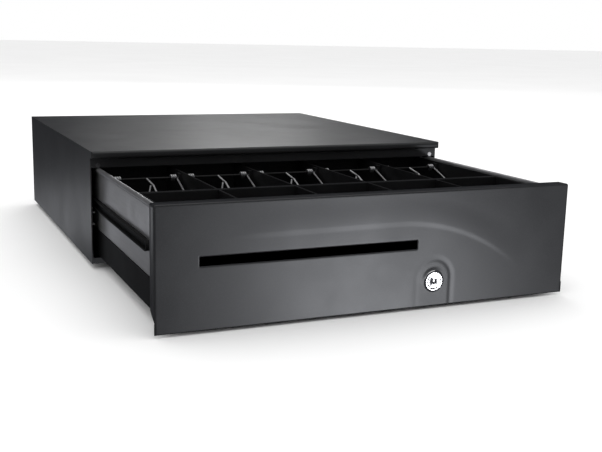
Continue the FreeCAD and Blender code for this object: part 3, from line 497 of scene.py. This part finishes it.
PANEL_HALF = 205.5
PANEL_LOW = 3.0
PANEL_TOP = 111.0
PANEL_Y = -323.0
SHEET = 1.2
RETURN_DEEP = 13.0
NOTCH_LOW = 13.0
NOTCH_HIGH = 21.0
CORNER = 2.0
CORNER_STEPS = 5
BEND = 1.4
BEND_STEPS = 5
GRID_ACROSS = 1.3
GRID_UP = 1.0
GRID_CLEAR = 1.1
GRID_CLOSE = (-1.0, -0.6, -0.3, 0.0, 0.3, 0.6, 1.0)
SLOT_X = (-167.0, 39.0)
SLOT_Z = (58.0, 66.0)
SLOT_ROLL_DEEP = 0.5
SLOT_ROLL_WIDE = 1.0
LOCK = (58.0, 26.5)
LOCK_HOLE = 8.6
RECESS_HALF = 18.0
RECESS_TOP = 47.0
RECESS_DEEP = 0.2
RECESS_INNER = 3.0
RECESS_OUTER = 5.0
RECESS_LEAST = 0.25       # share of the depth that is left at the recess's left
RECESS_SPREAD = 1.2       # where the share starts to rise, in half widths left of the lock
COLLAR_PROUD = 0.55
COLLAR_FROM = 10.0
COLLAR_TO = 14.0
COLLAR_TOWARDS = math.radians(125)
LINE_START = (-131.0, 80.5)
LINE_BEND = (20.0, 82.0)
LINE_RADIUS = 200.0
LINE_SWEEP = 40.0
LINE_SWEEP_FULL = 0.5     # share of the sweep over which the line keeps its full height
LINE_SWEEP_END = 1.08     # share of the sweep at which it is gone
LINE_FADE = 16.0
LINE_RISE = 3             # how many fades the line takes to reach its height
LINE_FLANK = 2.4
LINE_FALL = 26.0
LINE_PROUD = 0.24


def line_height(x, z):
    """The raised line: a ridge with a crisp lower flank that melts into the sheet above it."""
    if x < LINE_BEND[0]:
        slope = (LINE_BEND[1] - LINE_START[1]) / (LINE_BEND[0] - LINE_START[0])
        off = z - LINE_START[1] - slope * (x - LINE_START[0])
        faint, full = LINE_START[0] - LINE_FADE, LINE_START[0] + LINE_RISE * LINE_FADE
        strength = smoothstep(x, faint, full)
    else:
        down = LINE_BEND[1] - LINE_RADIUS
        off = math.hypot(x - LINE_BEND[0], z - down) - LINE_RADIUS
        sweep = math.degrees(math.atan2(x - LINE_BEND[0], z - down))
        full, gone = LINE_SWEEP * LINE_SWEEP_FULL, LINE_SWEEP * LINE_SWEEP_END
        strength = 1 - smoothstep(sweep, full, gone)
    flank = smoothstep(off, -LINE_FLANK, LINE_FLANK)
    fall = 1 - smoothstep(off, LINE_FLANK, LINE_FALL)
    return LINE_PROUD * strength * flank * fall


def recess_height(x, z):
    """The arch pressed round the lock: a soft groove, deepest at its right."""
    middle = RECESS_TOP - RECESS_HALF
    if z < middle:
        off = abs(x - LOCK[0]) - RECESS_HALF
    else:
        off = math.hypot(x - LOCK[0], z - middle) - RECESS_HALF
    across = smoothstep(x, LOCK[0] - RECESS_HALF * RECESS_SPREAD, LOCK[0] + RECESS_HALF)
    groove = smoothstep(off, -RECESS_INNER, 0.0) * (1 - smoothstep(off, 0.0, RECESS_OUTER))
    return -RECESS_DEEP * (RECESS_LEAST + (1 - RECESS_LEAST) * across) * groove


def collar_height(x, z):
    """The sheet swells a little round the lock's upper left."""
    across, up = x - LOCK[0], z - LOCK[1]
    away = math.hypot(across, up)
    side = max(0.0, math.cos(math.atan2(up, across) - COLLAR_TOWARDS)) ** 2
    return COLLAR_PROUD * side * (1 - smoothstep(away, COLLAR_FROM, COLLAR_TO))


def slot_height(x, z):
    """The edge of the media slot is rolled back."""
    over_x = max(SLOT_X[0] - x, x - SLOT_X[1], 0.0)
    over_z = max(SLOT_Z[0] - z, z - SLOT_Z[1], 0.0)
    off = math.hypot(over_x, over_z)
    return -SLOT_ROLL_DEEP * (1 - min(1.0, off / SLOT_ROLL_WIDE)) ** 2


def face_height(x, z):
    """How far the sheet stands proud of its plane."""
    return line_height(x, z) + recess_height(x, z) + collar_height(x, z) + slot_height(x, z)


def ruled(start, end, step, marks):
    """Grid lines from start to end, with lines exactly at the marks and close beside them."""
    places = {start, end}
    count = round((end - start) / step)
    places.update(start + (end - start) * number / count for number in range(count + 1))
    for mark in marks:
        places = {place for place in places
                  if abs(place - mark) > GRID_CLEAR or place in (start, end)}
    for mark in marks:
        places.update(mark + shift for shift in GRID_CLOSE)
    return sorted(places)


def panel_face():
    """The dense front sheet inside its rounded edges, without the slot and the lock's hole."""
    columns = ruled(-PANEL_HALF + CORNER, PANEL_HALF - CORNER, GRID_ACROSS, SLOT_X)
    rows = ruled(PANEL_LOW, PANEL_TOP - CORNER, GRID_UP, SLOT_Z)
    points = [(x, PANEL_Y - face_height(x, z), z) for z in rows for x in columns]
    wide = len(columns)
    faces = []
    for row in range(len(rows) - 1):
        middle_z = (rows[row] + rows[row + 1]) / 2
        for column in range(wide - 1):
            middle_x = (columns[column] + columns[column + 1]) / 2
            in_slot = (SLOT_X[0] < middle_x < SLOT_X[1]) and (SLOT_Z[0] < middle_z < SLOT_Z[1])
            in_lock = math.hypot(middle_x - LOCK[0], middle_z - LOCK[1]) < LOCK_HOLE
            if in_slot or in_lock:
                continue
            corner = row * wide + column
            faces.append((corner, corner + 1, corner + wide + 1, corner + wide))
    return points, faces, columns, rows


def return_depth(z):
    """How far the side return runs back: it is notched away near the bottom."""
    share = (z - NOTCH_LOW) / (NOTCH_HIGH - NOTCH_LOW)
    return RETURN_DEEP * min(1.0, max(0.0, share))


def edge_stops(columns, rows):
    """The face's outline from bottom left, over the top, to bottom right, with its directions."""
    wide = len(columns)
    top = (len(rows) - 1) * wide
    stops = [(row * wide, -1.0, 0.0, return_depth(rows[row])) for row in range(len(rows))]
    for turn in range(1, CORNER_STEPS):
        angle = math.pi / 2 * turn / CORNER_STEPS
        stops.append((top, -math.cos(angle), math.sin(angle), RETURN_DEEP))
    stops += [(top + column, 0.0, 1.0, RETURN_DEEP) for column in range(wide)]
    for turn in range(1, CORNER_STEPS):
        angle = math.pi / 2 * turn / CORNER_STEPS
        stops.append((top + wide - 1, math.sin(angle), math.cos(angle), RETURN_DEEP))
    stops += [(row * wide + wide - 1, 1.0, 0.0, return_depth(rows[row]))
              for row in reversed(range(len(rows)))]
    return stops


def edge_profile(depth):
    """(outward, rearward) steps from the face over the bend and down the return."""
    bend = min(BEND, depth)
    steps = [(CORNER - bend, 0.0)]
    for step in range(1, BEND_STEPS + 1):
        angle = math.pi / 2 * step / BEND_STEPS
        steps.append((CORNER - bend + bend * math.sin(angle), bend * (1 - math.cos(angle))))
    steps.append((CORNER, max(depth, bend) * 0.5 + bend * 0.5))
    steps.append((CORNER, max(depth, bend)))
    return steps


def front_panel():
    """The pressed face, its rounded edges and returns, as one sheet of even thickness."""
    points, faces, columns, rows = panel_face()
    rings = []
    for corner, out_x, out_z, depth in edge_stops(columns, rows):
        x, y, z = points[corner]
        ring = [corner]
        for outward, rearward in edge_profile(depth):
            points.append((x + out_x * outward, PANEL_Y + rearward, z + out_z * outward))
            ring.append(len(points) - 1)
        rings.append(ring)
    for ring, after in zip(rings, rings[1:]):
        for step in range(len(ring) - 1):
            quad = (ring[step], after[step], after[step + 1], ring[step + 1])
            faces.append(tuple(dict.fromkeys(quad)))
    mesh = smooth_mesh("front_panel_sheet", points, faces)
    piece = put("front_panel_sheet", mesh, "front_panel")
    thick = piece.modifiers.new("sheet", "SOLIDIFY")
    thick.thickness = SHEET * MM
    thick.offset = -1
    thick.use_even_offset = True
    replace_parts(piece, "front_panel")


# ---- Lock --------------------------------------------------------------------------------------

LOCK_FACE = -324.5
BEZEL_FRONT = (
    # radius, and how far behind the lock's face
    (6.55, 0.5), (6.9, 0.12), (7.3, 0.0), (8.7, 0.03), (9.5, 0.25), (10.2, 0.8), (10.5, 1.4),
    (10.5, 1.95), (9.0, 2.0),
)
THREAD_CREST = 9.0
THREAD_ROOT = 8.6
THREAD_START = 5.0
THREAD_PITCH = 1.3
THREAD_TURNS = 14
BEZEL_REAR = ((THREAD_CREST, 23.4), (THREAD_ROOT, 24.0), (6.55, 24.0))

PLUG_BEHIND = 0.3
PLUG_RADIUS = 6.45
PLUG_FLAT = 6.2
PLUG_CHAMFER = 0.25
PLUG_LONG = 24.9
KEYWAY = (0.7, 2.4)       # half width and half height
KEYWAY_RIM = (1.1, 2.7)
KEYWAY_RIM_DEEP = 0.55
KEYWAY_WALL_FROM = 0.8
KEYWAY_DEEP = 3.0
KEYWAY_SQUARE = 6         # the higher, the squarer the keyway's corners
DISH_LEAST = 2.8          # least radius at which the face starts to dip to the keyway
DISH_MARGIN = 0.2


def lock_bezel():
    """Nickelled ring with a rolled edge, and the threaded body behind the panel."""
    profile = [(radius, LOCK_FACE + behind) for radius, behind in BEZEL_FRONT]
    for turn in range(THREAD_TURNS):
        start = LOCK_FACE + THREAD_START + turn * THREAD_PITCH
        profile += [(THREAD_CREST, start), (THREAD_ROOT, start + THREAD_PITCH / 2)]
    profile += [(radius, LOCK_FACE + behind) for radius, behind in BEZEL_REAR]
    shape = lathed(profile, (LOCK[0], 0, LOCK[1]), "y", 96)
    piece = put("lock_bezel", smooth_mesh("lock_bezel", *shape), "lock_body")
    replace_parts(piece, "lock_body")


def slot_edge(angle, half_x, half_z):
    """Where a ray at this angle leaves a keyway with rounded corners."""
    across, up = math.cos(angle), math.sin(angle)
    power = KEYWAY_SQUARE
    reach = (abs(across / half_x) ** power + abs(up / half_z) ** power) ** (-1 / power)
    return across * reach, up * reach


def plug_ray(angle, front):
    """One radial section of the plug, from its rear over the face and into the keyway."""
    across, up = math.cos(angle), math.sin(angle)
    key_x, key_z = slot_edge(angle, *KEYWAY)
    rim_x, rim_z = slot_edge(angle, *KEYWAY_RIM)
    dish = max(DISH_LEAST, math.hypot(rim_x, rim_z) + DISH_MARGIN)
    return [
        (0, 0, front + PLUG_LONG),
        (PLUG_RADIUS * across, PLUG_RADIUS * up, front + PLUG_LONG),
        (PLUG_RADIUS * across, PLUG_RADIUS * up, front + PLUG_CHAMFER),
        (PLUG_FLAT * across, PLUG_FLAT * up, front),
        (dish * across, dish * up, front),
        (rim_x, rim_z, front + KEYWAY_RIM_DEEP),
        (key_x, key_z, front + KEYWAY_WALL_FROM),
        (key_x, key_z, front + KEYWAY_DEEP),
        (0, 0, front + KEYWAY_DEEP),
    ]


def lock_plug():
    """Turning plug: a bright face with a dished, worn keyway."""
    steps = 72
    rays = [plug_ray(2 * math.pi * step / steps, LOCK_FACE + PLUG_BEHIND) for step in range(steps)]
    points = [(LOCK[0] + x, y, LOCK[1] + z) for ray in rays for x, z, y in ray]
    wide = len(rays[0])
    faces = []
    for step in range(steps):
        near, far = step * wide, (step + 1) % steps * wide
        for row in range(wide - 1):
            faces.append((near + row, near + row + 1, far + row + 1, far + row))
    piece = put("lock_plug_face", smooth_mesh("lock_plug_face", points, faces), "lock_plug")
    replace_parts(piece, "lock_plug")


# ---- Wire hold-downs ---------------------------------------------------------------------------

WIRE = 1.1                # radius
WIRE_SIDES = 3
ARC_STEPS = 5
ARC_FLATTEST = math.radians(89)
PIVOT = (-105.0, 98.0)    # places along Y and Z
KNEE = (-150.0, 84.5)
TOE = (-203.0, 53.4)
ARM = 31.6
PAD = 9.0
LOOP = 5.0
DROP = 16.0
ARM_ARC = 2.4
LEG_ARC = 4.0
COIL_IN = 2.6             # how far inside the arm a coil's middle is
COIL_RADIUS = 2.5
COIL_TURNS = 2.5
COIL_LONG = 5.4
COIL_STEPS = 18


def rounded_path(points, radius):
    """A polyline whose corners are arcs of up to the radius."""
    points = [Vector(point) for point in points]
    path = [points[0]]
    for before, corner, after in zip(points, points[1:], points[2:]):
        back, ahead = (before - corner).normalized(), (after - corner).normalized()
        half = back.angle(ahead) / 2
        if half > ARC_FLATTEST:
            path.append(corner)
            continue
        cut = radius / math.tan(half)
        cut = min(cut, (before - corner).length * 0.45, (after - corner).length * 0.45)
        bend = cut * math.tan(half)
        centre = corner + (back + ahead).normalized() * (bend / math.sin(half))
        start, end = corner + back * cut - centre, corner + ahead * cut - centre
        for step in range(ARC_STEPS + 1):
            path.append(centre + start.slerp(end, step / ARC_STEPS))
    path.append(points[-1])
    return path


def wire_curve(name, paths, radius):
    """One curve with a round section along each path."""
    curve = bpy.data.curves.new(name, "CURVE")
    curve.dimensions = "3D"
    curve.bevel_depth = radius * MM
    curve.bevel_resolution = WIRE_SIDES
    curve.use_fill_caps = True
    for path in paths:
        spline = curve.splines.new("POLY")
        spline.points.add(len(path) - 1)
        for point, place in zip(spline.points, path):
            point.co = (*(Vector(place) * MM), 1.0)
    return curve


def coil_path(centre):
    """A torsion coil: a helix round a line along X."""
    path = []
    count = COIL_TURNS * COIL_STEPS
    for step in range(int(count) + 1):
        angle = 2 * math.pi * step / COIL_STEPS
        along = COIL_LONG * step / count - COIL_LONG / 2
        path.append((centre[0] + along, centre[1] + COIL_RADIUS * math.cos(angle),
                     centre[2] + COIL_RADIUS * math.sin(angle)))
    return path


def hold_down(node):
    """Bill weight of bent spring wire: two arms, a toe bar, two inner legs and two coils."""
    low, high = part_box(node)
    middle = (low[0] + high[0]) / 2 / MM
    reach = (high[0] - low[0]) / 2 / MM

    def at(x, place_yz):
        return (middle + x, *place_yz)

    pad = (TOE[0] + PAD, TOE[1])
    slope = (KNEE[1] - PIVOT[1]) / (KNEE[0] - PIVOT[0])
    joint = (PIVOT[0] - DROP, PIVOT[1] - DROP * slope)
    under = (joint[0] - LOOP, joint[1] - DROP)
    foot = (KNEE[0] - DROP, TOE[1] + DROP)
    left = [at(-reach, PIVOT), at(-ARM, PIVOT), at(-ARM, KNEE), at(-ARM, pad), at(-ARM, TOE)]
    right = [at(-point[0] + middle, point[1:]) for point in reversed(left)]
    near_leg = [at(WIRE, PIVOT), at(WIRE, joint), at(LOOP, KNEE), at(LOOP, TOE)]
    far_leg = [at(WIRE, joint), at(-LOOP, under), at(-LOOP, foot), at(-LOOP, TOE)]
    paths = [rounded_path(left + right, ARM_ARC), rounded_path(near_leg, LEG_ARC),
             rounded_path(far_leg, LEG_ARC)]
    for side in (-1, 1):
        paths.append(coil_path(at(side * (ARM - COIL_IN), PIVOT)))
    rod = wire_curve(node + "_rod", [[at(-ARM, PIVOT), at(ARM, PIVOT)]], WIRE)
    put(node + "_rod", rod, node, "black_steel")
    piece = put(node + "_wire", wire_curve(node + "_wire", paths, WIRE), node)
    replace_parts(piece, node)


# ---- Screws, feet and small fittings ------------------------------------------------------------

def loose_boxes(node):
    """The low and high corners of each separate solid of a node, in millimetres."""
    work = bmesh.new()
    work.from_mesh(NODES[node].data)
    bmesh.ops.remove_doubles(work, verts=work.verts, dist=1e-6)
    left = set(work.verts)
    boxes = []
    while left:
        group, edge = set(), [left.pop()]
        while edge:
            corner = edge.pop()
            group.add(corner.co.to_tuple())
            for link in corner.link_edges:
                other = link.other_vert(corner)
                if other in left:
                    left.discard(other)
                    edge.append(other)
        low = [min(point[axis] for point in group) / MM for axis in range(3)]
        high = [max(point[axis] for point in group) / MM for axis in range(3)]
        boxes.append((low, high))
    work.free()
    return sorted(boxes)


# shares of a screw head's radius
HEAD_TALL = 0.62
SHANK = 0.48
SHANK_TIP = 0.5           # of the shank's own radius
CROSS_WIDE = 0.13
CROSS_LONG = 0.52
# shares of a screw head's height
HEAD_RIM = 0.3
CROSS_DEEP = 0.75
DOME_POWER = 2.6          # the higher, the flatter the head's top
HEAD_RINGS = 14
HEAD_STEPS = 56


def crossed(across, up, half_wide, half_long):
    """How deep inside a cross-shaped recess a point lies, from 0 to 1."""
    arm = max(min(half_wide - abs(across), half_long - abs(up)),
              min(half_wide - abs(up), half_long - abs(across)))
    return smoothstep(arm, -0.12, 0.3)


def head_height(across, up, radius):
    """Height of the domed head over its seat, less the cross recess."""
    head = radius * HEAD_TALL
    out = min(1.0, math.hypot(across, up) / radius)
    dome = math.sqrt(max(0.0, 1 - out ** DOME_POWER))
    recess = crossed(across, up, radius * CROSS_WIDE, radius * CROSS_LONG)
    return head * (HEAD_RIM + (1 - HEAD_RIM) * dome) - head * CROSS_DEEP * recess


def screw_mesh(centre, axis, outward, radius, length):
    """A pan-head screw: domed head with a cross recess, and its shank, along an axis."""
    turn = AXES[axis]
    ring_of = [(math.cos(2 * math.pi * step / HEAD_STEPS), math.sin(2 * math.pi * step / HEAD_STEPS))
               for step in range(HEAD_STEPS)]
    points, faces = [], []
    for ring in range(HEAD_RINGS + 1):
        out = radius * ring / HEAD_RINGS
        for across, up in ring_of:
            height = head_height(out * across, out * up, radius)
            points.append((out * across, out * up, height))
    shank = radius * SHANK
    end = radius * HEAD_TALL - length
    below = ((radius, 0.0), (shank, 0.0), (shank, end), (shank * SHANK_TIP, end))
    for out, height in below:
        points += [(out * across, out * up, height) for across, up in ring_of]
    rings = HEAD_RINGS + len(below)
    for ring in range(rings):
        near, far = ring * HEAD_STEPS, (ring + 1) * HEAD_STEPS
        for step in range(HEAD_STEPS):
            after = (step + 1) % HEAD_STEPS
            faces.append((near + step, far + step, far + after, near + after))
    faces.append(tuple(rings * HEAD_STEPS + step for step in reversed(range(HEAD_STEPS))))
    placed = [tuple(Vector(centre) + turn @ Vector((x, y, outward * z))) for x, y, z in points]
    return placed, faces


def screw_set(node, axis, outward):
    """Stands for a node of identical screws, each where its solid is."""
    index = "xyz".index(axis)
    parts = []
    for low, high in loose_boxes(node):
        middle = [(low[side] + high[side]) / 2 for side in range(3)]
        radius = (high[(index + 1) % 3] - low[(index + 1) % 3]) / 2
        length = high[index] - low[index]
        outer = high[index] if outward > 0 else low[index]
        middle[index] = outer - outward * radius * HEAD_TALL
        parts.append(screw_mesh(middle, axis, outward, radius, length))
    mesh = smooth_mesh(node + "_heads", *join_meshes(*parts), angle=50)
    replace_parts(put(node + "_heads", mesh, node), node)


FOOT_BORE = 3.2
FOOT_TAPER = 9 / 11       # radius at the ground as a share of the radius at the top
FOOT_RIBS = (0.25, 0.5, 0.75)
FOOT_GROOVE = 0.35
FOOT_DISH = ((5.6, 0.0), (5.0, 0.6), (4.4, 1.6), (FOOT_BORE, 1.8))


def ribbed_feet():
    """Rubber bumpers with grooves round their sides and a dished underside."""
    parts = []
    for low, high in loose_boxes("feet"):
        centre = ((low[0] + high[0]) / 2, (low[1] + high[1]) / 2, 0)
        wide = (high[0] - low[0]) / 2
        ground, top = low[2], high[2]
        slim = wide * FOOT_TAPER
        profile = [(FOOT_BORE, top), (wide - 0.3, top), (wide, top - 0.3)]
        for share in FOOT_RIBS:
            out = wide + (slim - wide) * share
            place = top - (top - ground) * share
            profile += [(out, place + FOOT_GROOVE), (out - FOOT_GROOVE, place),
                        (out, place - FOOT_GROOVE)]
        profile += [(slim, ground + 0.5), (slim - 0.5, ground)]
        profile += [(out, ground + up) for out, up in FOOT_DISH]
        parts.append(lathed(profile, centre, "z", 48))
    mesh = smooth_mesh("feet_ribbed", *join_meshes(*parts), angle=30)
    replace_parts(put("feet_ribbed", mesh, "feet"), "feet")


# ---- Drawer rails ------------------------------------------------------------------------------

RAIL_SOFT = 0.3


def rail_channel(node, away):
    """A rolled channel that faces away from the drawer's wall, closed round its front end."""
    low, high = millimetre_box(node)
    wall, lip = (low[0], high[0]) if away > 0 else (high[0], low[0])
    radius = (high[2] - low[2]) / 2
    middle = (high[2] + low[2]) / 2
    bend = low[1] + radius
    web = wall + away * SHEET
    stations = [(high[1], radius, 90)]
    stations += [(bend, radius, angle) for angle in range(90, 271, 10)]
    stations.append((high[1], radius, 270))
    points = []
    for along, size, angle in stations:
        across, up = math.cos(math.radians(angle)), math.sin(math.radians(angle))
        outer = (along + size * across, middle + size * up)
        inner = (along + (size - SHEET) * across, middle + (size - SHEET) * up)
        points += [(wall, *outer), (lip, *outer), (lip, *inner), (web, *inner)]
    count = len(stations)
    faces = []
    for stop in range(count - 1):
        near, far = stop * 4, stop * 4 + 4
        faces += [(near + row, near + row + 1, far + row + 1, far + row) for row in range(3)]
    for stop in range(count // 2):
        mirror = count - 1 - stop
        for row in (0, 3):
            corners = (stop * 4 + row, stop * 4 + 4 + row, mirror * 4 - 4 + row, mirror * 4 + row)
            faces.append(tuple(dict.fromkeys(corners)))
    last = (count - 1) * 4
    faces += [(0, 1, 2, 3), (last, last + 1, last + 2, last + 3), (0, 3, last + 3, last)]
    piece = put(node + "_rolled", smooth_mesh(node + "_rolled", points, faces), node)
    soften(piece, RAIL_SOFT)
    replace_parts(piece, node)


# ---- Inside fittings ---------------------------------------------------------------------------

BOBBIN_BORE = 5.2
BOBBIN_FLANGE = 1.2
WINDING_PITCH = 0.7
WINDING_IN = (1.5, 0.9)   # how far inside the flange the wire's hollows and crowns are
WINDING_SPARE = 0.8       # the last turn leaves this much before the far flange


def coil_winding():
    """The solenoid's bobbin with its wound wire, round the plunger's bore."""
    low, high = millimetre_box("solenoid_coil")
    centre = ((low[0] + high[0]) / 2, (low[1] + high[1]) / 2, 0)
    outer = (high[0] - low[0]) / 2
    hollow, crown = outer - WINDING_IN[0], outer - WINDING_IN[1]
    place, end = low[2] + BOBBIN_FLANGE, high[2] - BOBBIN_FLANGE
    profile = [(BOBBIN_BORE, low[2]), (outer, low[2]), (outer, place)]
    while place + WINDING_SPARE < end:
        profile += [(hollow, place), (crown, place + WINDING_PITCH / 2)]
        place += WINDING_PITCH
    profile += [(hollow, end), (outer, end), (outer, high[2]), (BOBBIN_BORE, high[2])]
    mesh = smooth_mesh("coil_winding", *lathed(profile, centre, "z", 64))
    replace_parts(put("coil_winding", mesh, "solenoid_coil"), "solenoid_coil")


BOARD_PARTS = (
    # along X and Y from the board's low corner, width, length, height, all in millimetres
    (12, 8, 10, 8, 1.6), (30, 10, 5, 6, 1.4), (14, 24, 6, 4, 1.2), (26, 22, 4, 3, 1.0),
    (34, 22, 4, 3, 1.0), (48, 10, 3, 6, 1.0), (54, 10, 3, 6, 1.0), (20, 36, 8, 7, 3.0),
)
BOARD_CANS = (
    # along X and Y, radius, height
    (44, 26, 3.2, 7.0), (54, 28, 2.5, 6.0),
)
BOARD_GAP = 0.02
BOARD_SOFT = 0.15
CAN_AXIS = 0.01           # radius of the can's ends at its axis
CAN_NECK = (0.12, 0.18, 0.24)
CAN_NECK_DEEP = 0.25
CAN_SHOULDER = 0.4


def can_profile(radius, foot, height):
    """A capacitor's can: a rolled neck near its foot and a rounded shoulder."""
    below, neck, above = (foot + height * share for share in CAN_NECK)
    top = foot + height
    return [(CAN_AXIS, foot), (radius, foot), (radius, below), (radius - CAN_NECK_DEEP, neck),
            (radius, above), (radius, top - CAN_SHOULDER), (radius - CAN_SHOULDER, top),
            (CAN_AXIS, top)]


def board_fittings():
    """Chips and small cans on the circuit board."""
    low, high = millimetre_box("circuit_board")
    top = high[2] + BOARD_GAP
    parts = []
    for x, y, width, length, height in BOARD_PARTS:
        parts.append(box_part((low[0] + x, low[1] + y, top),
                              (low[0] + x + width, low[1] + y + length, top + height)))
    for x, y, radius, height in BOARD_CANS:
        centre = (low[0] + x, low[1] + y, 0)
        parts.append(lathed(can_profile(radius, top, height), centre, "z", 32))
    chips = put("board_fittings", smooth_mesh("board_fittings", *join_meshes(*parts)),
                "circuit_board", "black_plastic")
    soften(chips, BOARD_SOFT)


# ---- The whole scene ---------------------------------------------------------------------------

MATERIALS = make_materials()
dress_nodes(MATERIALS)
front_panel()
lock_bezel()
lock_plug()
for number in range(1, 6):
    hold_down("hold_down_%d" % number)
screw_set("rear_screws", "y", 1)
screw_set("foot_screws", "z", -1)
ribbed_feet()
rail_channel("drawer_rail_right", 1)
rail_channel("drawer_rail_left", -1)
coil_winding()
board_fittings()
make_camera()
make_studio()
